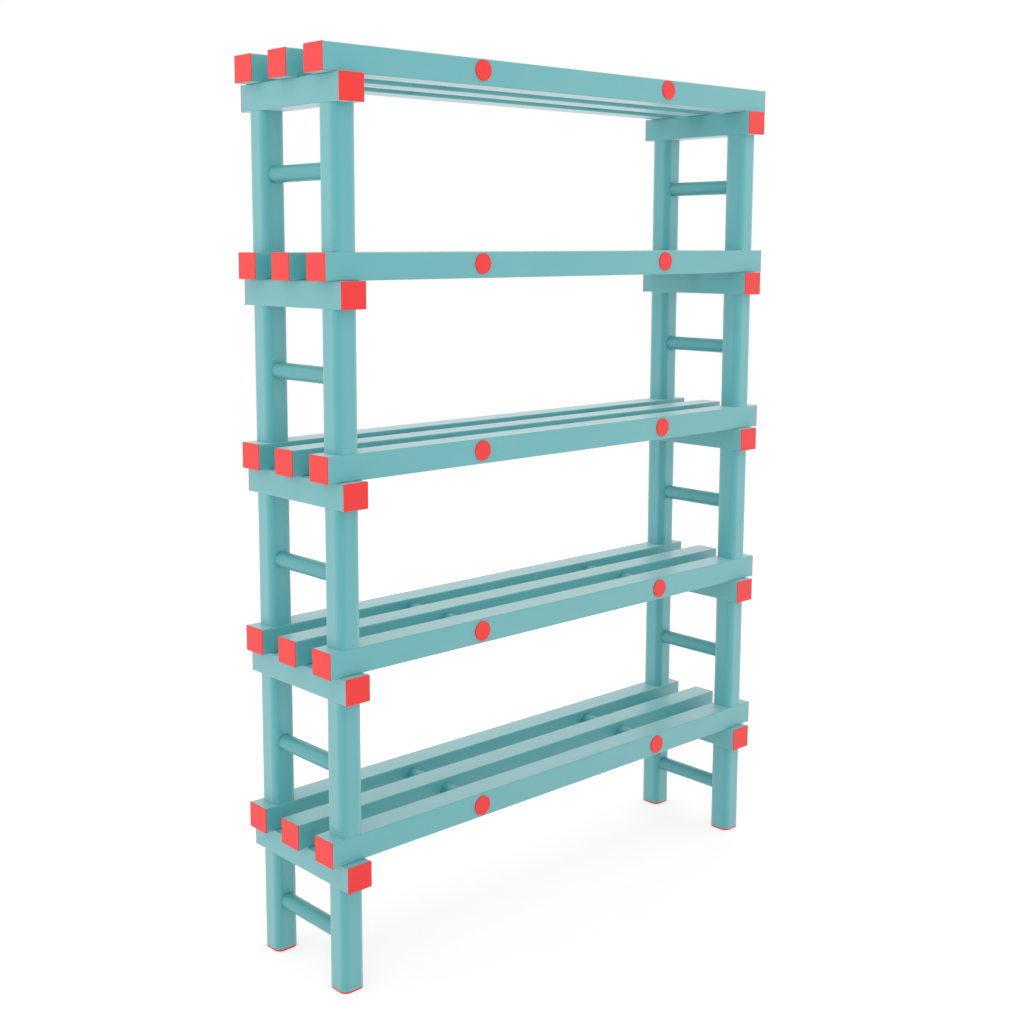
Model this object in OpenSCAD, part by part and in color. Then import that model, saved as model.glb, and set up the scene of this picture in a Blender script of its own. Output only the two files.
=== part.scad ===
// Plastic shelving unit: slatted shelves on stacked ladder frames, all of hollow tube
// Millimetres, +Z up, origin on the floor at the middle of the unit
// Shelves, crossbeams, legs and rungs are numbered from the floor up

/* [Shelves] */
// Length of a shelf, end cap to end cap
shelf_len = 1500; // [1200:50:2000]
// Number of shelves
shelf_count = 5; // [2:1:5]
// Height of the lowest shelf's top above the floor
first_shelf_top = 369.5; // [340:0.5:450]
// Rise from one shelf's top to the next
shelf_rise = 432.5; // [400:2.5:500]

/* [Slats] */
// Width of a slat, front to rear
slat_w = 66; // [62:1:80]
// Height of a slat
slat_h = 60; // [54:0.5:70]
// Distance from one slat's middle to the next
slat_pitch = 131; // [110:1:160]
// Wall of the hollow slat
slat_wall = 3; // [2:0.25:4]

/* [Crossbeams] */
// Width of a crossbeam, along the shelf
beam_w = 66; // [62:1:80]
// Height of a crossbeam
beam_h = 60; // [54:0.5:70]
// Wall of the hollow crossbeam
beam_wall = 3; // [2:0.25:4]
// Distance from the shelf's end to the crossbeam's outer side
beam_inset = 28; // [10:0.5:60]
// How far a crossbeam reaches out past the front and rear slats
beam_reach = 20; // [8:0.5:40]
// Outer corner radius of slats and crossbeams
edge_r = 3; // [1:0.25:3.5]
// Inner corner radius of slats and crossbeams
inner_r = 1.5; // [0.5:0.25:2.5]

/* [Legs] */
// Side of the rounded square leg tube
leg_w = 61.5; // [57:0.5:62]
// Outer corner radius of the leg tube
leg_r = 17.5; // [12:0.5:20]
// Wall of the leg tube
leg_wall = 3; // [2:0.25:3.5]

/* [Rungs and rods] */
// Outer diameter of the round tube used for rungs, tie rods and joining tubes
tube_d = 38; // [32:1:40]
// Wall of the round tube
tube_wall = 3; // [2:0.25:4]
// Height of the lowest rung's middle above the floor
bottom_rung_rise = 125; // [90:5:130]
// Height of the second rung's middle above the shelf that its legs stand on
rung_rise = 150.5; // [120:0.5:170]
// How much further each higher rung sits above its own shelf
rung_drift = 7.5; // [0:0.5:10]
// How far the tie rods' middles lie below the slats' middles on the lowest shelf
first_rod_drop = 1; // [0:0.25:2]
// How much further up in its slats each higher shelf's tie rods lie
rod_drift = 1.4; // [0:0.1:1.5]
// Distance of the left tie rod from the middle of the shelf
left_rod_x = 300; // [200:1:400]
// Distance of the right tie rod from the middle of the shelf
right_rod_x = 342; // [200:1:400]

/* [Caps and feet] */
// Thickness of the square end cap's plate
cap_t = 2; // [1.5:0.25:4]
// How far the square end cap's plate stands out past its tube all round
cap_overhang = 0.5; // [0.25:0.25:1.5]
// Corner radius of the square end cap's plate
cap_corner_r = 1; // [0.5:0.25:3]
// Depth of an end cap's plug inside its tube
plug_depth = 24; // [16:1:30]
// Wall of a plug's core
plug_wall = 2; // [1.5:0.25:3]
// Height of the gripping fins around a plug's core
fin_h = 2; // [1:0.25:3]
// Thickness of a gripping fin
fin_t = 1.2; // [0.8:0.1:2]
// Number of gripping fins on a plug
fin_count = 3; // [2:1:4]
// How far a round cap's rim covers the slat around the tie rod
rod_cap_rim = 5; // [3:0.5:8]
// Thickness of a round cap's head
rod_cap_t = 3; // [2.5:0.25:5]
// Radius round the edge of a round cap's head
rod_cap_edge = 1; // [0.5:0.25:1.25]
// Height of a foot below its leg tube
foot_t = 4.5; // [3:0.5:10]

/* [Leg joints] */
// Depth of a leg socket, and how far a joining tube enters a leg
socket_depth = 50; // [35:1:55]
// Wall of a leg socket's shell, sleeve and ribs
socket_wall = 2.5; // [2:0.25:3]

/* [Clearances] */
// Gap all round between a plug or socket and the tube that holds it
plug_gap = 0.25; // [0.1:0.05:0.5]
// Gap all round between a round tube and its bore
bore_gap = 0.25; // [0.1:0.05:0.5]
// Gap between a tube's end and the wall that it stops at
end_gap = 0.5; // [0.3:0.1:0.9]

/* [Hidden] */
$fn = 48;
sides = [-1, 1];
rows = [-1, 0, 1];
leg_rows = [-1, 1];
SIDE_NAMES = ["left", "right"];
ROW_NAMES = ["front", "middle", "rear"];
plastic_blue = [0.47, 0.73, 0.74];
plastic_red = [0.96, 0.31, 0.30];
plastic_grey = [0.62, 0.65, 0.66];

shelf_depth = 2 * slat_pitch + slat_w;
beam_len = shelf_depth + 2 * beam_reach;
beam_x = shelf_len / 2 - beam_inset - beam_w / 2;
rod_x = [-left_rod_x, right_rod_x];
rung_len = 2 * slat_pitch + leg_w - 2 * leg_wall - 2 * end_gap;
bore_d = tube_d + 2 * bore_gap;
rod_plug_d = tube_d - 2 * tube_wall - 2 * plug_gap;
through = 1;

function shelf_top(k) = first_shelf_top + (k - 1) * shelf_rise;
function slat_middle(k) = shelf_top(k) - slat_h / 2;
function rod_z(k) = slat_middle(k) - first_rod_drop + (k - 1) * rod_drift;
function beam_top(k) = shelf_top(k) - slat_h;
function beam_low(k) = beam_top(k) - beam_h;
function leg_low(k) = k == 1 ? foot_t : shelf_top(k - 1);
function rung_z(k) = k == 1 ? bottom_rung_rise : shelf_top(k - 1) + rung_rise + (k - 2) * rung_drift;

// Rectangle with round corners, centred
module round_rect(w, h, r) {
    square([w - 2 * r, h], center = true);
    square([w, h - 2 * r], center = true);
    for (x = sides, y = sides)
        translate([x * (w / 2 - r), y * (h / 2 - r)]) circle(r = r);
}

// Hollow section with a wall of even thickness
module hollow_rect(w, h, r, wall, hole_r) {
    difference() {
        round_rect(w, h, r);
        round_rect(w - 2 * wall, h - 2 * wall, hole_r);
    }
}

// Round tube standing on z = 0
module round_tube(len) {
    difference() {
        cylinder(d = tube_d, h = len);
        translate([0, 0, -through]) cylinder(d = tube_d - 2 * tube_wall, h = len + 2 * through);
    }
}

// Hollow core with gripping fins, hanging below z = 0, for a hole of the given size
module finned_plug(hole_w, hole_h, hole_r) {
    w = hole_w - 2 * plug_gap;
    h = hole_h - 2 * plug_gap;
    r = max(hole_r - plug_gap, 0.2);
    core_r = max(r - fin_h, 0.2);
    bore_r = max(core_r - plug_wall, 0.2);
    fin_step = plug_depth / fin_count;
    translate([0, 0, -plug_depth]) linear_extrude(plug_depth)
        hollow_rect(w - 2 * fin_h, h - 2 * fin_h, core_r, plug_wall, bore_r);
    for (i = [0 : fin_count - 1])
        translate([0, 0, -plug_depth + i * fin_step]) linear_extrude(fin_t)
            hollow_rect(w, h, r, fin_h + plug_wall / 2, core_r);
}

// Square end cap: its plate stands on z = 0 and its plug hangs below
module end_cap(w, h, wall) {
    linear_extrude(cap_t) round_rect(w + 2 * cap_overhang, h + 2 * cap_overhang, cap_corner_r);
    finned_plug(w - 2 * wall, h - 2 * wall, inner_r);
}

// Round cap: its head stands on z = 0 and its plug hangs below
module round_cap() {
    head_r = tube_d / 2 + rod_cap_rim;
    rotate_extrude() {
        square([head_r - rod_cap_edge, rod_cap_t]);
        square([head_r, rod_cap_t - rod_cap_edge]);
        translate([head_r - rod_cap_edge, rod_cap_t - rod_cap_edge]) circle(r = rod_cap_edge);
    }
    translate([0, 0, -plug_depth]) difference() {
        cylinder(d = rod_plug_d, h = plug_depth);
        translate([0, 0, -through]) cylinder(d = rod_plug_d - 2 * plug_wall, h = plug_depth + through);
    }
}

// Slat with bores for the tie rods, and in the front and rear rows for the joining tubes
module slat(row, k) {
    len = shelf_len - 2 * cap_t;
    bore_top = k < shelf_count ? through : -slat_wall - end_gap;
    color(plastic_blue) difference() {
        translate([-len / 2, row * slat_pitch, slat_middle(k)]) rotate([0, 90, 0])
            linear_extrude(len) hollow_rect(slat_h, slat_w, edge_r, slat_wall, inner_r);
        for (x = rod_x)
            translate([x, row * slat_pitch, rod_z(k)]) rotate([90, 0, 0])
                cylinder(d = bore_d, h = slat_w + 2 * through, center = true);
        if (row != 0) for (side = sides)
            translate([side * beam_x, row * slat_pitch, beam_top(k) - through])
                cylinder(d = bore_d, h = slat_h + through + bore_top);
    }
}

// Crossbeam under the slats, bored through over each leg
module crossbeam(side, k) {
    len = beam_len - 2 * cap_t;
    color(plastic_blue) difference() {
        translate([side * beam_x, len / 2, beam_low(k) + beam_h / 2]) rotate([90, 0, 0])
            linear_extrude(len) hollow_rect(beam_w, beam_h, edge_r, beam_wall, inner_r);
        for (row = leg_rows)
            translate([side * beam_x, row * slat_pitch, beam_low(k) - through])
                cylinder(d = bore_d, h = beam_h + 2 * through);
    }
}

// Leg with a bore for its rung in the wall that faces the other leg
module leg(side, row, k) {
    color(plastic_blue) difference() {
        translate([side * beam_x, row * slat_pitch, leg_low(k)]) linear_extrude(beam_low(k) - leg_low(k))
            hollow_rect(leg_w, leg_w, leg_r, leg_wall, leg_r - leg_wall);
        translate([side * beam_x, row * slat_pitch, rung_z(k)]) rotate([90 * row, 0, 0])
            cylinder(d = bore_d, h = leg_w / 2 + through);
    }
}

// Rungs between the front and rear legs of one side
module rungs(side) {
    color(plastic_blue) for (k = [1 : shelf_count])
        translate([side * beam_x, rung_len / 2, rung_z(k)]) rotate([90, 0, 0]) round_tube(rung_len);
}

// Tie rods through all three slats of each shelf, at one of the two places
module tie_rods(place) {
    color(plastic_blue) for (k = [1 : shelf_count])
        translate([rod_x[place], shelf_depth / 2, rod_z(k)]) rotate([90, 0, 0])
            round_tube(shelf_depth);
}

// Square caps in the slats' ends on one side
module slat_caps(side) {
    color(plastic_red) for (row = rows, k = [1 : shelf_count])
        translate([side * (shelf_len / 2 - cap_t), row * slat_pitch, slat_middle(k)])
            rotate([0, 90 * side, 0]) end_cap(slat_h, slat_w, slat_wall);
}

// Square caps in the crossbeams' front or rear ends
module crossbeam_caps(row) {
    color(plastic_red) for (side = sides, k = [1 : shelf_count])
        translate([side * beam_x, row * (beam_len / 2 - cap_t), beam_low(k) + beam_h / 2])
            rotate([-90 * row, 0, 0]) end_cap(beam_w, beam_h, beam_wall);
}

// Round caps in the tie rods' front or rear ends
module rod_caps(row) {
    color(plastic_red) for (x = rod_x, k = [1 : shelf_count])
        translate([x, row * shelf_depth / 2, rod_z(k)]) rotate([-90 * row, 0, 0]) round_cap();
}

// Feet: a pad of the leg's own outline, with a plug up inside the leg
module foot_caps() {
    color(plastic_red) for (side = sides, row = leg_rows)
        translate([side * beam_x, row * slat_pitch, foot_t]) mirror([0, 0, 1]) {
            linear_extrude(foot_t) round_rect(leg_w, leg_w, leg_r);
            finned_plug(leg_w - 2 * leg_wall, leg_w - 2 * leg_wall, leg_r - leg_wall);
        }
}

// Tubes that join each leg to the crossbeam and slat above it, and to the leg above them
module joining_tubes() {
    color(plastic_grey) for (side = sides, row = leg_rows, k = [1 : shelf_count]) {
        low = beam_low(k) - socket_depth;
        high = k < shelf_count ? shelf_top(k) + socket_depth : shelf_top(k) - slat_wall - end_gap;
        translate([side * beam_x, row * slat_pitch, low]) round_tube(high - low);
    }
}

// Ribbed socket for a joining tube, with its mouth at z = 0 and its body above
module leg_socket() {
    w = leg_w - 2 * leg_wall - 2 * plug_gap;
    r = leg_r - leg_wall - plug_gap;
    sleeve_d = bore_d + 2 * socket_wall;
    difference() {
        union() {
            linear_extrude(socket_wall) round_rect(w, w, r);
            linear_extrude(socket_depth) {
                hollow_rect(w, w, r, socket_wall, r - socket_wall);
                circle(d = sleeve_d);
                square([w - socket_wall, socket_wall], center = true);
                square([socket_wall, w - socket_wall], center = true);
            }
        }
        translate([0, 0, -through]) cylinder(d = bore_d, h = socket_depth + 2 * through);
    }
}

// Sockets in the top of every leg, and in the foot of every leg above the lowest
module leg_sockets() {
    color(plastic_grey) for (side = sides, row = leg_rows, k = [1 : shelf_count])
        translate([side * beam_x, row * slat_pitch, 0]) {
            translate([0, 0, beam_low(k)]) mirror([0, 0, 1]) leg_socket();
            if (k > 1) translate([0, 0, leg_low(k)]) leg_socket();
        }
}

for (row = rows, k = [1 : shelf_count])
    slat(row, k);
for (s = [0, 1], k = [1 : shelf_count])
    crossbeam(sides[s], k);
for (s = [0, 1], row = leg_rows, k = [1 : shelf_count])
    leg(sides[s], row, k);
for (s = [0, 1]) {
    rungs(sides[s]);
    tie_rods(s);
    slat_caps(sides[s]);
}
crossbeam_caps(-1);  // front_crossbeam_caps
crossbeam_caps(1);  // rear_crossbeam_caps
rod_caps(-1);  // front_rod_caps
rod_caps(1);  // rear_rod_caps
foot_caps();
joining_tubes();
leg_sockets();
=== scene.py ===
# %% [markdown]
# # A plastic shelving unit, finished in Blender
# The unit is built of hollow plastic tubes: three slats on each shelf, crossbeams under them, and
# ladder frames of legs and rungs between the shelves. Red caps close the tubes' open ends.
# Its tubes come ready-made in the frame, at their real size, so this script gives them a finish.
# The caps and feet are moulded pieces with soft edges, so they are modelled again here.

import math

import bmesh
import bpy
from mathutils import Matrix, Vector


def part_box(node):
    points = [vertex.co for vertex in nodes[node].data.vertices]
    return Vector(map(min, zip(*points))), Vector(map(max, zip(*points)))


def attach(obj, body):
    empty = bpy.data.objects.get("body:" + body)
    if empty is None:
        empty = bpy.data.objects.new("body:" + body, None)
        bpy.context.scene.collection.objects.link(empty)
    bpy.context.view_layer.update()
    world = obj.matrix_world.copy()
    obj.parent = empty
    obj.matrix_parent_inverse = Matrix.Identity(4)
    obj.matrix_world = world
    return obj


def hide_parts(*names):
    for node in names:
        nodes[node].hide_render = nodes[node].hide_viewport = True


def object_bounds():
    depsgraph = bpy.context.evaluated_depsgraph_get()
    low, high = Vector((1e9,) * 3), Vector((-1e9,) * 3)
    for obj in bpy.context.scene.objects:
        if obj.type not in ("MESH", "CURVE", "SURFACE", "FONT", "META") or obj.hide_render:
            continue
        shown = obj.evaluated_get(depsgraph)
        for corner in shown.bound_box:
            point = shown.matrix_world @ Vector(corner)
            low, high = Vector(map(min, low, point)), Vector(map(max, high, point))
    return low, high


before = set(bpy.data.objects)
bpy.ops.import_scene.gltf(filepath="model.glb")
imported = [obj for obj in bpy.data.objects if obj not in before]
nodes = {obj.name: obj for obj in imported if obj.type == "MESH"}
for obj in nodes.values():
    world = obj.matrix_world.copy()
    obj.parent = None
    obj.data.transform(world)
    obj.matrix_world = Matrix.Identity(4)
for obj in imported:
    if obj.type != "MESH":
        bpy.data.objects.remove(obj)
frame_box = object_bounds()
print("frame box", [[round(v, 4) for v in corner] for corner in frame_box])

# %% [markdown]
# ## The camera
# The view is from the front left, a little above the middle of the unit. The picture was cut from
# a wider one, so the lens's own centre lies left of the picture's centre and above it. A lens
# shift says exactly that, and keeps the upright tubes from leaning the wrong way.

# %% Place the camera
PICTURE_SIDE = 1024
SENSOR = 36.0
FOCAL_PIXELS = 1425.3
LENS_CENTRE = (451.47, 437.8)
CAMERA_PLACE = (-2.535, -2.595, 1.681)
CAMERA_DIP = 7.674
CAMERA_HEADING = -41.326
CAMERA_ROLL = -0.086
CAMERA_RANGE = 60.0

camera_data = bpy.data.cameras.new("studio_camera")
camera_data.sensor_width = SENSOR
camera_data.lens = FOCAL_PIXELS / PICTURE_SIDE * SENSOR
camera_data.shift_x = 0.5 - LENS_CENTRE[0] / PICTURE_SIDE
camera_data.shift_y = LENS_CENTRE[1] / PICTURE_SIDE - 0.5
camera_data.clip_end = CAMERA_RANGE
camera = bpy.data.objects.new("studio_camera", camera_data)
camera.location = CAMERA_PLACE
turn = Matrix.Rotation(math.radians(CAMERA_HEADING), 4, "Z")
turn = turn @ Matrix.Rotation(math.radians(90 - CAMERA_DIP), 4, "X")
turn = turn @ Matrix.Rotation(math.radians(CAMERA_ROLL), 4, "Z")
camera.rotation_euler = turn.to_euler()
bpy.context.scene.collection.objects.link(camera)
bpy.context.scene.camera = camera
lens_shift = [round(value, 4) for value in (camera_data.shift_x, camera_data.shift_y)]
print("lens", round(camera_data.lens, 2), "mm, shift", lens_shift)

# %% [markdown]
# ## The studio
# Satin plastic shows what stands around it, so the room matters as much as the lamps. Here it is a
# white dome over a pale floor. It lights the unit softly all round, with a little more light from
# behind on the left than from in front on the right, as the unit's sides in the photo show. What
# the camera sees of the dome is pure white, and so is what a mirror or a glass would show of it.

# %% Light the room
BRIGHT_LEVEL = 1.23
DIM_LEVEL = 0.95
TOWARDS_DIM = (0.66, -0.75, 0)
HORIZON_LEVEL = 1.28
HORIZON_EDGE = -0.02
WHITE_LEVEL = 1.0
WHITE = (1, 1, 1, 1)
scene = bpy.context.scene
scene.view_settings.view_transform = "Standard"


def link(tree, source, target):
    """Joins two sockets of a node tree."""
    tree.links.new(source, target)


def seen_clearly(tree):
    """Adds nodes that put out 1 for a ray from the camera, a mirror or a glass, else 0."""
    path = tree.nodes.new("ShaderNodeLightPath")
    seen = path.outputs["Is Camera Ray"]
    for ray in ("Is Glossy Ray", "Is Transmission Ray"):
        either = tree.nodes.new("ShaderNodeMath")
        either.operation = "MAXIMUM"
        link(tree, seen, either.inputs[0])
        link(tree, path.outputs[ray], either.inputs[1])
        seen = either.outputs["Value"]
    return seen


world = bpy.data.worlds.new("white_dome")
world.use_nodes = True
scene.world = world
dome = world.node_tree
dome.nodes.clear()
dome_way = dome.nodes.new("ShaderNodeTexCoord")
dome_across = dome.nodes.new("ShaderNodeVectorMath")
dome_across.operation = "DOT_PRODUCT"
dome_across.inputs[1].default_value = TOWARDS_DIM
link(dome, dome_way.outputs["Generated"], dome_across.inputs[0])
dome_span = dome.nodes.new("ShaderNodeMapRange")
dome_span.inputs["From Min"].default_value = -1.0
dome_span.inputs["To Min"].default_value = BRIGHT_LEVEL
dome_span.inputs["To Max"].default_value = DIM_LEVEL
link(dome, dome_across.outputs["Value"], dome_span.inputs["Value"])
dome_height = dome.nodes.new("ShaderNodeSeparateXYZ")
link(dome, dome_way.outputs["Generated"], dome_height.inputs[0])
dome_level = dome.nodes.new("ShaderNodeMapRange")
dome_level.inputs["From Min"].default_value = HORIZON_EDGE
dome_level.inputs["From Max"].default_value = 0.0
dome_level.inputs["To Min"].default_value = HORIZON_LEVEL
link(dome, dome_height.outputs["Z"], dome_level.inputs["Value"])
link(dome, dome_span.outputs["Result"], dome_level.inputs["To Max"])
dome_light = dome.nodes.new("ShaderNodeBackground")
link(dome, dome_level.outputs["Result"], dome_light.inputs["Strength"])
dome_white = dome.nodes.new("ShaderNodeBackground")
dome_white.inputs["Strength"].default_value = WHITE_LEVEL
dome_mix = dome.nodes.new("ShaderNodeMixShader")
link(dome, seen_clearly(dome), dome_mix.inputs[0])
link(dome, dome_light.outputs[0], dome_mix.inputs[1])
link(dome, dome_white.outputs[0], dome_mix.inputs[2])
dome_output = dome.nodes.new("ShaderNodeOutputWorld")
link(dome, dome_mix.outputs[0], dome_output.inputs["Surface"])
for background in (dome_light, dome_white):
    background.inputs["Color"].default_value = WHITE
print("dome levels", BRIGHT_LEVEL, "to", DIM_LEVEL, "and", HORIZON_LEVEL, "at the horizon")

# %% [markdown]
# ## The floor
# The photo shows the floor as white as the room, with only a soft grey shadow under the unit. So
# the camera, a mirror or a glass sees a matt paint that takes the shadow, lifted by a glow, and in
# the open the two together are white. The paint is faintly warm, which takes the unit's blue out
# of its shadow. All other light that goes back up comes from a plain matt paint, a little under
# white. The floor is a disc, and past its rim the dome has a brighter band, as a horizon.

# %% Lay the floor
FLOOR_RADIUS = 5.5
FLOOR_SIDES = 96
FLOOR_PAINT = (0.78, 0.78, 0.78)
SEEN_PAINT = (0.61, 0.548, 0.545)
SEEN_GLOW = 0.54

floor_mesh = bpy.data.meshes.new("studio_floor")
floor_shape = bmesh.new()
bmesh.ops.create_circle(floor_shape, cap_ends=True, segments=FLOOR_SIDES, radius=FLOOR_RADIUS)
floor_shape.to_mesh(floor_mesh)
floor_shape.free()
floor = bpy.data.objects.new("studio_floor", floor_mesh)
scene.collection.objects.link(floor)

floor_paint = bpy.data.materials.new("floor_paint")
floor_paint.use_nodes = True
paint = floor_paint.node_tree
paint.nodes.clear()
paint_plain = paint.nodes.new("ShaderNodeBsdfDiffuse")
paint_plain.inputs["Color"].default_value = (*FLOOR_PAINT, 1)
paint_shaded = paint.nodes.new("ShaderNodeBsdfDiffuse")
paint_shaded.inputs["Color"].default_value = (*SEEN_PAINT, 1)
paint_glow = paint.nodes.new("ShaderNodeEmission")
paint_glow.inputs["Strength"].default_value = SEEN_GLOW
paint_seen = paint.nodes.new("ShaderNodeAddShader")
link(paint, paint_shaded.outputs[0], paint_seen.inputs[0])
link(paint, paint_glow.outputs[0], paint_seen.inputs[1])
paint_mix = paint.nodes.new("ShaderNodeMixShader")
link(paint, seen_clearly(paint), paint_mix.inputs[0])
link(paint, paint_plain.outputs[0], paint_mix.inputs[1])
link(paint, paint_seen.outputs[0], paint_mix.inputs[2])
paint_output = paint.nodes.new("ShaderNodeOutputMaterial")
link(paint, paint_mix.outputs[0], paint_output.inputs["Surface"])
floor_mesh.materials.append(floor_paint)
print("floor disc", FLOOR_RADIUS, "m")

# %% [markdown]
# ## Surface effects
# A tube that is drawn through a die keeps hair-fine lines along its length, and its colour clouds
# a little where the pigment was mixed. A moulded cap has a fine even grain instead. Each effect is
# a node group, so that every material can hold it with its own values.


# %% Helpers for node groups
def new_group(name, inputs, outputs):
    """Starts a node group with named inputs and outputs, and returns it with its two end nodes."""
    group = bpy.data.node_groups.new(name, "ShaderNodeTree")
    for socket_name, socket_type in inputs:
        group.interface.new_socket(name=socket_name, in_out="INPUT", socket_type=socket_type)
    for socket_name, socket_type in outputs:
        group.interface.new_socket(name=socket_name, in_out="OUTPUT", socket_type=socket_type)
    return group, group.nodes.new("NodeGroupInput"), group.nodes.new("NodeGroupOutput")


def noise(tree, vector, scale, detail):
    """Adds a Noise Texture that reads a vector, and returns its value output."""
    texture = tree.nodes.new("ShaderNodeTexNoise")
    texture.inputs["Scale"].default_value = scale
    texture.inputs["Detail"].default_value = detail
    link(tree, vector, texture.inputs["Vector"])
    return texture.outputs["Fac"]


def remap(tree, value, from_low, from_high, to_low, to_high):
    """Adds a Map Range between two spans, clamped, and returns its output."""
    span = tree.nodes.new("ShaderNodeMapRange")
    span.inputs["From Min"].default_value = from_low
    span.inputs["From Max"].default_value = from_high
    span.inputs["To Min"].default_value = to_low
    span.inputs["To Max"].default_value = to_high
    link(tree, value, span.inputs["Value"])
    return span.outputs["Result"]


# %% The effect of drawing a tube through a die
LINE_SCALE = 900.0
BAND_SCALE = 60.0
FINE_DETAIL = 2.0
NOISE_LOW = 0.3
NOISE_HIGH = 0.7

drawn, drawn_in, drawn_out = new_group(
    "drawn_tube",
    [("Vector", "NodeSocketVector")],
    [("Lines", "NodeSocketFloat"), ("Bands", "NodeSocketFloat")],
)
lines = noise(drawn, drawn_in.outputs["Vector"], LINE_SCALE, FINE_DETAIL)
link(drawn, lines, drawn_out.inputs["Lines"])
bands = noise(drawn, drawn_in.outputs["Vector"], BAND_SCALE, FINE_DETAIL)
link(drawn, remap(drawn, bands, NOISE_LOW, NOISE_HIGH, 0.0, 1.0), drawn_out.inputs["Bands"])

# %% The effect of clouded pigment
CLOUD_SCALE = 5.0
CLOUD_DETAIL = 3.0

clouded, clouded_in, clouded_out = new_group(
    "clouded_pigment",
    [
        ("Vector", "NodeSocketVector"),
        ("Color", "NodeSocketColor"),
        ("Light Color", "NodeSocketColor"),
    ],
    [("Color", "NodeSocketColor")],
)
cloud = noise(clouded, clouded_in.outputs["Vector"], CLOUD_SCALE, CLOUD_DETAIL)
cloud_mix = clouded.nodes.new("ShaderNodeMix")
cloud_mix.data_type = "RGBA"
cloud_factor = remap(clouded, cloud, NOISE_LOW, NOISE_HIGH, 0.0, 1.0)
link(clouded, cloud_factor, cloud_mix.inputs["Factor"])
link(clouded, clouded_in.outputs["Color"], cloud_mix.inputs["A"])
link(clouded, clouded_in.outputs["Light Color"], cloud_mix.inputs["B"])
link(clouded, cloud_mix.outputs["Result"], clouded_out.inputs["Color"])

# %% The effect of a fine moulded grain
GRAIN_SCALE = 1400.0

grain, grain_in, grain_out = new_group(
    "moulded_grain", [("Vector", "NodeSocketVector")], [("Grain", "NodeSocketFloat")]
)
specks = noise(grain, grain_in.outputs["Vector"], GRAIN_SCALE, FINE_DETAIL)
link(grain, specks, grain_out.inputs["Grain"])
print("effects", [group.name for group in (drawn, clouded, grain)])

# %% [markdown]
# ## The plastics
# The plastics are satin. Seen straight on they show their own colour, and seen along the surface
# they turn pale, because a satin skin mirrors the white room at a low angle, as a haze. So a rough
# coat lies over the colour and grows as the view slants. It fades by itself where a neighbour
# hides the room, under the slats and beside the legs. Sheen adds the part that doesn't fade there.


# %% Helpers for the plastics
PLASTIC_IOR = 1.5
SHEEN_ROUGHNESS = 0.5
COAT_IOR = 4.0
COAT_ROUGHNESS = 0.38
SLANT_BLEND = 0.5
BUMP_DEPTH = 0.00003


def place_group(tree, group):
    """Puts a node group into a material."""
    holder = tree.nodes.new("ShaderNodeGroup")
    holder.node_tree = group
    return holder


def start_plastic(name, sheen, haze):
    """Makes a satin plastic with a sheen and a coat that grows to a haze where the view slants.

    Returns the material, its tree, its Principled BSDF and its object coordinates.
    """
    material = bpy.data.materials.new(name)
    material.use_nodes = True
    tree = material.node_tree
    shader = tree.nodes["Principled BSDF"]
    shader.inputs["IOR"].default_value = PLASTIC_IOR
    shader.inputs["Sheen Weight"].default_value = sheen
    shader.inputs["Sheen Roughness"].default_value = SHEEN_ROUGHNESS
    shader.inputs["Coat IOR"].default_value = COAT_IOR
    shader.inputs["Coat Roughness"].default_value = COAT_ROUGHNESS
    facing = tree.nodes.new("ShaderNodeLayerWeight")
    facing.inputs["Blend"].default_value = SLANT_BLEND
    slant_haze = remap(tree, facing.outputs["Facing"], 0, 1, 0, haze)
    link(tree, slant_haze, shader.inputs["Coat Weight"])
    place = tree.nodes.new("ShaderNodeTexCoord")
    return material, tree, shader, place.outputs["Object"]


def add_bump(tree, shader, height, strength):
    """Feeds a height from 0 to 1 to the shader's normal, as a bump of BUMP_DEPTH metres."""
    bump = tree.nodes.new("ShaderNodeBump")
    bump.inputs["Distance"].default_value = BUMP_DEPTH
    bump.inputs["Strength"].default_value = strength
    link(tree, height, bump.inputs["Height"])
    link(tree, bump.outputs["Normal"], shader.inputs["Normal"])


def set_clouded_color(tree, shader, vector, color, light_color):
    """Feeds a faintly clouded colour to the shader."""
    cloud_holder = place_group(tree, clouded)
    cloud_holder.inputs["Color"].default_value = (*color, 1)
    cloud_holder.inputs["Light Color"].default_value = (*light_color, 1)
    link(tree, vector, cloud_holder.inputs["Vector"])
    link(tree, cloud_holder.outputs["Color"], shader.inputs["Base Color"])


# %% The blue tube plastic
SQUARE_BLUE = (0.089, 0.415, 0.440)
SQUARE_BLUE_LIGHT = (0.097, 0.430, 0.455)
SQUARE_SHEEN = 0.45
SQUARE_HAZE = 0.43
# The round tubes are the same plastic as the square ones, but their blue is painted darker:
# painted shade for the rungs and rods, which stand between the legs and under the crossbeams.
ROUND_BLUE_SHADED = (0.085, 0.374, 0.397)
ROUND_BLUE_SHADED_LIGHT = (0.093, 0.389, 0.412)
ROUND_SHEEN = 0.0
ROUND_HAZE = 0.12
TUBE_ROUGHNESS = (0.31, 0.41)
LINE_STRETCH = 0.004
LINE_STRENGTH = 0.4


def tube_plastic(name, axis, color, light_color, sheen, haze):
    """Blue plastic drawn along one axis: 0 for X, 1 for Y, 2 for Z."""
    material, tree, shader, place = start_plastic(name, sheen, haze)
    stretch = tree.nodes.new("ShaderNodeMapping")
    scale = [1.0, 1.0, 1.0]
    scale[axis] = LINE_STRETCH
    stretch.inputs["Scale"].default_value = scale
    link(tree, place, stretch.inputs["Vector"])
    drawn_holder = place_group(tree, drawn)
    link(tree, stretch.outputs["Vector"], drawn_holder.inputs["Vector"])
    roughness = remap(tree, drawn_holder.outputs["Bands"], 0, 1, *TUBE_ROUGHNESS)
    link(tree, roughness, shader.inputs["Roughness"])
    add_bump(tree, shader, drawn_holder.outputs["Lines"], LINE_STRENGTH)
    set_clouded_color(tree, shader, place, color, light_color)
    return material


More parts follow.
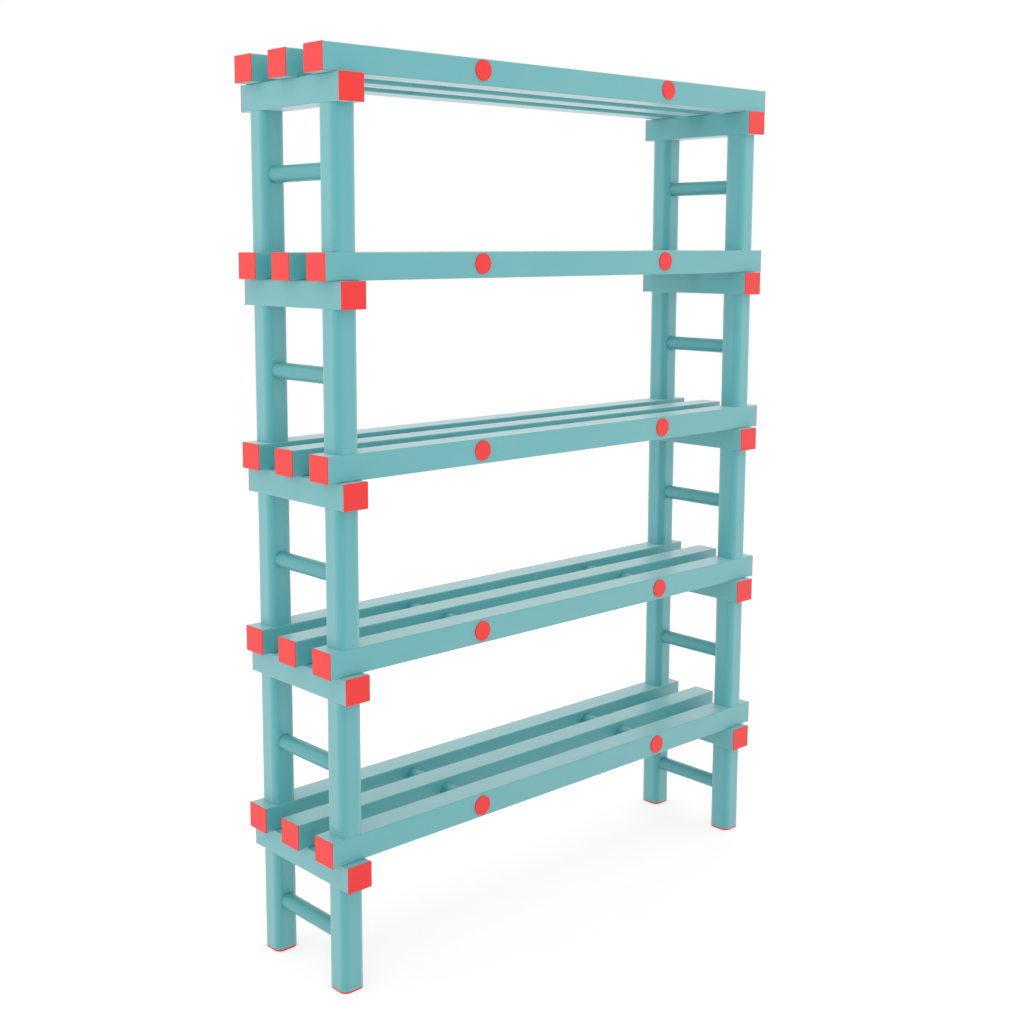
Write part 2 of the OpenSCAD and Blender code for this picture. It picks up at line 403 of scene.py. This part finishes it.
square_blue = [
    tube_plastic(
        f"square_blue_tube_along_{axis_word}", axis,
        SQUARE_BLUE, SQUARE_BLUE_LIGHT, SQUARE_SHEEN, SQUARE_HAZE,
    )
    for axis, axis_word in enumerate("xyz")
]
round_blue_shaded = tube_plastic(
    "round_blue_tube_along_y", 1, ROUND_BLUE_SHADED, ROUND_BLUE_SHADED_LIGHT, ROUND_SHEEN, ROUND_HAZE
)
print("tube plastics", [material.name for material in (*square_blue, round_blue_shaded)])

# %% The red cap plastic and the grey joint plastic
RED = (0.90, 0.013, 0.011)
RED_LIGHT = (0.92, 0.017, 0.015)
RED_SHEEN = 0.05
RED_HAZE = 0.12
GREY = (0.34, 0.38, 0.39)
GREY_LIGHT = (0.37, 0.41, 0.42)
GREY_SHEEN = 0.1
GREY_HAZE = 0.1
MOULDED_ROUGHNESS = (0.35, 0.42)
GRAIN_STRENGTH = 0.35


def moulded_plastic(name, color, light_color, sheen, haze):
    """Moulded plastic with a fine even grain."""
    material, tree, shader, place = start_plastic(name, sheen, haze)
    grain_holder = place_group(tree, grain)
    link(tree, place, grain_holder.inputs["Vector"])
    grain_height = grain_holder.outputs["Grain"]
    add_bump(tree, shader, grain_height, GRAIN_STRENGTH)
    roughness = remap(tree, grain_height, NOISE_LOW, NOISE_HIGH, *MOULDED_ROUGHNESS)
    link(tree, roughness, shader.inputs["Roughness"])
    set_clouded_color(tree, shader, place, color, light_color)
    return material


red_plastic = moulded_plastic("red_cap_plastic", RED, RED_LIGHT, RED_SHEEN, RED_HAZE)
grey_plastic = moulded_plastic("grey_joint_plastic", GREY, GREY_LIGHT, GREY_SHEEN, GREY_HAZE)
print("moulded plastics", [material.name for material in (red_plastic, grey_plastic)])

# %% Give the tubes their plastic
PLASTIC_BY_WORD = {
    "slat": square_blue[0],
    "crossbeam": square_blue[1],
    "leg": square_blue[2],
    "rungs": round_blue_shaded,
    "rods": round_blue_shaded,
}


def plastic_for(node_name):
    """The plastic of a frame piece, from the words of its name."""
    words = node_name.split("_")
    if "caps" in words:
        return red_plastic
    if "sockets" in words or "joining" in words:
        return grey_plastic
    return next(PLASTIC_BY_WORD[word] for word in words if word in PLASTIC_BY_WORD)


for node_name, node in nodes.items():
    for material_slot in node.material_slots:
        material_slot.material = plastic_for(node_name)
print("finished", len(nodes), "frame pieces")

# %% [markdown]
# ## The caps and feet
# Each cap is moulded in one piece: a plate over the tube's end, and a hollow plug behind it with
# fins that grip the tube. The frame's caps have sharp rims, so they are made again with soft ones.
# A cap is made at the origin with its plug down and its plate up, and then turned into its tube.
# One face is extruded again and again from the plug's inner end to the plate. Each time the new
# face is fitted to the next outline, which keeps every corner a true arc. The same step, done
# from the inner end back up, hollows the plug.

# %% Sizes that the caps share
PLUG_DEPTH = 0.024
PLUG_WALL = 0.002
PLUG_GAP = 0.00025
FIN_HEIGHT = 0.002
FIN_THICKNESS = 0.0012
FIN_COUNT = 3
CORE_CORNER = 0.0002
SOFT_RIM = 0.0005
RIM_STEPS = 3
ROUND_PROFILE = 0.5
SHARP_TURN = math.radians(35)
SMOOTH_WIDTH = 0.003
SMOOTH_AREA = 0.0001
print("plug depth", PLUG_DEPTH * 1000, "mm")


# %% Helpers for moulding a cap
def fit_face(face, outline, new_outline, height):
    """Moves a face's points from one outline to another at a height.

    An outline is a width, a height and a corner radius. Each corner's arc keeps its own centre.
    """
    for vert in face.verts:
        for axis in (0, 1):
            past_centre = abs(vert.co[axis]) - outline[axis] / 2 + outline[2]
            centre = new_outline[axis] / 2 - new_outline[2]
            reach = centre + past_centre * new_outline[2] / outline[2]
            vert.co[axis] = math.copysign(reach, vert.co[axis])
        vert.co.z = height


def extrude_face(shape, face, outline, new_outline, height):
    """Extrudes a face to a new outline at a height, and returns the new face.

    A face that now lies inside the cap is taken out. Only the first face stays, as the inner end.
    """
    made = bmesh.ops.extrude_face_region(shape, geom=[face])["geom"]
    new_face = next(part for part in made if isinstance(part, bmesh.types.BMFace))
    fit_face(new_face, outline, new_outline, height)
    if len(face.edges[0].link_faces) > 2:
        bmesh.ops.delete(shape, geom=[face], context="FACES_ONLY")
    return new_face


def mould_square_cap(plate, thickness, hole, corner_steps):
    """A cap with a plate of one outline, and a finned plug for a hole of another."""
    width, height, corner = hole
    fin = (width - 2 * PLUG_GAP, height - 2 * PLUG_GAP, corner - PLUG_GAP)
    core_corner = max(fin[2] - FIN_HEIGHT, CORE_CORNER)
    core = (fin[0] - 2 * FIN_HEIGHT, fin[1] - 2 * FIN_HEIGHT, core_corner)
    bore_corner = max(core_corner - PLUG_WALL, CORE_CORNER)
    bore = (core[0] - 2 * PLUG_WALL, core[1] - 2 * PLUG_WALL, bore_corner)
    levels = []
    for fin_number in range(FIN_COUNT):
        low = -PLUG_DEPTH + fin_number * PLUG_DEPTH / FIN_COUNT
        high = low + PLUG_DEPTH / FIN_COUNT
        fin_top = low + FIN_THICKNESS
        levels += [(fin, low), (fin, fin_top), (core, fin_top), (core, high)]
    levels += [(plate, 0.0), (plate, thickness)]

    shape = bmesh.new()
    bmesh.ops.create_grid(shape, x_segments=1, y_segments=1, size=0.5)
    bmesh.ops.scale(shape, vec=(fin[0], fin[1], 1), verts=shape.verts)
    bmesh.ops.bevel(
        shape, geom=list(shape.verts), offset=fin[2], segments=corner_steps,
        profile=ROUND_PROFILE, affect="VERTICES", material=-1,
    )
    bmesh.ops.translate(shape, vec=(0, 0, -PLUG_DEPTH), verts=shape.verts)
    inner_end = shape.faces[:][0]
    face, outline = inner_end, fin
    for new_outline, level in levels[1:]:
        face = extrude_face(shape, face, outline, new_outline, level)
        outline = new_outline
    rim = list(face.edges)
    hollow = extrude_face(shape, inner_end, fin, bore, -PLUG_DEPTH)
    extrude_face(shape, hollow, bore, bore, 0.0)
    bmesh.ops.bevel(
        shape, geom=rim, offset=SOFT_RIM, segments=RIM_STEPS,
        profile=ROUND_PROFILE, affect="EDGES", material=-1,
    )
    bmesh.ops.recalc_face_normals(shape, faces=shape.faces)
    return shape


def turn_into_place(shape, place, outward, up):
    """A copy of a cap at its place, with its plate facing outward."""
    side = up.cross(outward)
    turned = Matrix((side, up, outward)).transposed().to_4x4()
    copy = shape.copy()
    bmesh.ops.transform(copy, matrix=Matrix.Translation(place) @ turned, verts=copy.verts)
    return copy


def finish_cap(name, shape, *replaced):
    """Makes a piece of a moulded cap, with soft shading over its small faces."""
    for face in shape.faces:
        narrow = min(edge.calc_length() for edge in face.edges) < SMOOTH_WIDTH
        face.smooth = narrow and face.calc_area() < SMOOTH_AREA
    for edge in shape.edges:
        edge.smooth = edge.calc_face_angle(0) < SHARP_TURN
    mesh = bpy.data.meshes.new(name)
    shape.to_mesh(mesh)
    shape.free()
    mesh.materials.append(red_plastic)
    cap = bpy.data.objects.new(name, mesh)
    scene.collection.objects.link(cap)
    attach(cap, "root")
    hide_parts(*replaced)
    return cap


# %% Square caps in the slats
SHELVES = range(1, 6)
ROW_WORDS = ("front", "middle", "rear")
X, Y, Z = Vector((1, 0, 0)), Vector((0, 1, 0)), Vector((0, 0, 1))
CAP_CORNER = 0.001
CAP_OVERHANG = 0.0001
TUBE_WALL = 0.003
HOLE_CORNER = 0.0015
CORNER_STEPS = 4


def size_and_middle(node_name):
    """The size and the middle of a frame piece's box."""
    low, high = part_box(node_name)
    return high - low, (high + low) / 2


def mould_tube_cap(width, height, thickness):
    """A square cap for a tube of one width and height."""
    plate = (width + 2 * CAP_OVERHANG, height + 2 * CAP_OVERHANG, CAP_CORNER)
    hole = (width - 2 * TUBE_WALL, height - 2 * TUBE_WALL, HOLE_CORNER)
    return mould_square_cap(plate, thickness, hole, CORNER_STEPS)


slat_size, slat_middle = size_and_middle("middle_slat_1")
cap_thickness = frame_box[1][0] - slat_middle.x - slat_size.x / 2
slat_cap = mould_tube_cap(slat_size.y, slat_size.z, cap_thickness)
for row_word in ROW_WORDS:
    for shelf in SHELVES:
        size, middle = size_and_middle(f"{row_word}_slat_{shelf}")
        for side_word, outward in (("left", -X), ("right", X)):
            shape = turn_into_place(slat_cap, middle + outward * size.x / 2, outward, Z)
            finish_cap(f"{side_word}_{row_word}_slat_cap_{shelf}", shape, f"{side_word}_slat_caps")
slat_cap.free()
print("slat caps", round(cap_thickness * 1000, 2), "mm thick")

# %% Square caps in the crossbeams
beam_size, _ = size_and_middle("left_crossbeam_1")
beam_cap = mould_tube_cap(beam_size.x, beam_size.z, cap_thickness)
for side_word in ("left", "right"):
    for shelf in SHELVES:
        size, middle = size_and_middle(f"{side_word}_crossbeam_{shelf}")
        for row_word, outward in (("front", -Y), ("rear", Y)):
            shape = turn_into_place(beam_cap, middle + outward * size.y / 2, outward, Z)
            name = f"{side_word}_{row_word}_crossbeam_cap_{shelf}"
            finish_cap(name, shape, f"{row_word}_crossbeam_caps")
beam_cap.free()
print("crossbeam caps", [round(v * 1000, 1) for v in beam_size])

# %% [markdown]
# A foot is the same kind of cap, upside down in the lowest leg. Its corners follow the leg's own.

# %% Feet
LEG_CORNER = 0.0175
FOOT_CORNER_STEPS = 12
for side_word in ("left", "right"):
    for row_word in ("front", "rear"):
        size, middle = size_and_middle(f"{side_word}_{row_word}_leg_1")
        foot_height = middle.z - size.z / 2 - frame_box[0][2]
        plate = (size.x, size.y, LEG_CORNER)
        hole = (size.x - 2 * TUBE_WALL, size.y - 2 * TUBE_WALL, LEG_CORNER - TUBE_WALL)
        foot = mould_square_cap(plate, foot_height, hole, FOOT_CORNER_STEPS)
        shape = turn_into_place(foot, middle - Z * size.z / 2, -Z, Y)
        foot.free()
        finish_cap(f"{side_word}_{row_word}_foot", shape, "foot_caps")
print("feet", round(foot_height * 1000, 2), "mm high")

# %% [markdown]
# A round cap covers the end of each tie rod and the slat around it. It is turned from a profile:
# half of its outline is drawn once and spun about its own axis. The rim is bevelled afterwards.

# %% Round caps on the tie rods
ROD_CAP_RIM = 0.005
ROD_CAP_THICKNESS = 0.003
ROD_CAP_EDGE = 0.001
ROD_CAP_EDGE_STEPS = 4
SPIN_STEPS = 48
FULL_TURN = 2 * math.pi
SAME_POINT = 1e-6


def mould_round_cap(rod_radius):
    """A cap with a round head, and a hollow plug for a round tube."""
    head = rod_radius + ROD_CAP_RIM
    plug = rod_radius - TUBE_WALL - PLUG_GAP
    bore = plug - PLUG_WALL
    shape = bmesh.new()
    corners = [
        shape.verts.new((radius, 0, height))
        for radius, height in (
            (0, ROD_CAP_THICKNESS), (head, ROD_CAP_THICKNESS), (head, 0), (plug, 0),
            (plug, -PLUG_DEPTH), (bore, -PLUG_DEPTH), (bore, 0), (0, 0),
        )
    ]
    profile = [shape.edges.new(pair) for pair in zip(corners, corners[1:])]
    bmesh.ops.spin(
        shape, geom=corners + profile, cent=(0, 0, 0), axis=(0, 0, 1),
        angle=FULL_TURN, steps=SPIN_STEPS, use_merge=True,
    )
    bmesh.ops.remove_doubles(shape, verts=shape.verts, dist=SAME_POINT)
    bmesh.ops.recalc_face_normals(shape, faces=shape.faces)
    rim = [
        edge for edge in shape.edges
        if all(vert.co.z > 0 and vert.co.to_2d().length > head - PLUG_GAP for vert in edge.verts)
    ]
    bmesh.ops.bevel(
        shape, geom=rim, offset=ROD_CAP_EDGE, segments=ROD_CAP_EDGE_STEPS,
        profile=ROUND_PROFILE, affect="EDGES", material=-1,
    )
    return shape


for side_word in ("left", "right"):
    size, middle = size_and_middle(f"{side_word}_tie_rods")
    radius = size.x / 2
    rod_rise = (size.z - 2 * radius) / (len(SHELVES) - 1)
    rod_cap = mould_round_cap(radius)
    for shelf in SHELVES:
        height = middle.z - size.z / 2 + radius + (shelf - 1) * rod_rise
        for row_word, outward in (("front", -Y), ("rear", Y)):
            rod_end = Vector((middle.x, middle.y + outward.y * size.y / 2, height))
            shape = turn_into_place(rod_cap, rod_end, outward, Z)
            finish_cap(f"{side_word}_{row_word}_rod_cap_{shelf}", shape, f"{row_word}_rod_caps")
    rod_cap.free()
print("rod caps for rods of radius", round(radius * 1000, 1), "mm")
print("rods", round(rod_rise * 1000, 1), "mm apart")
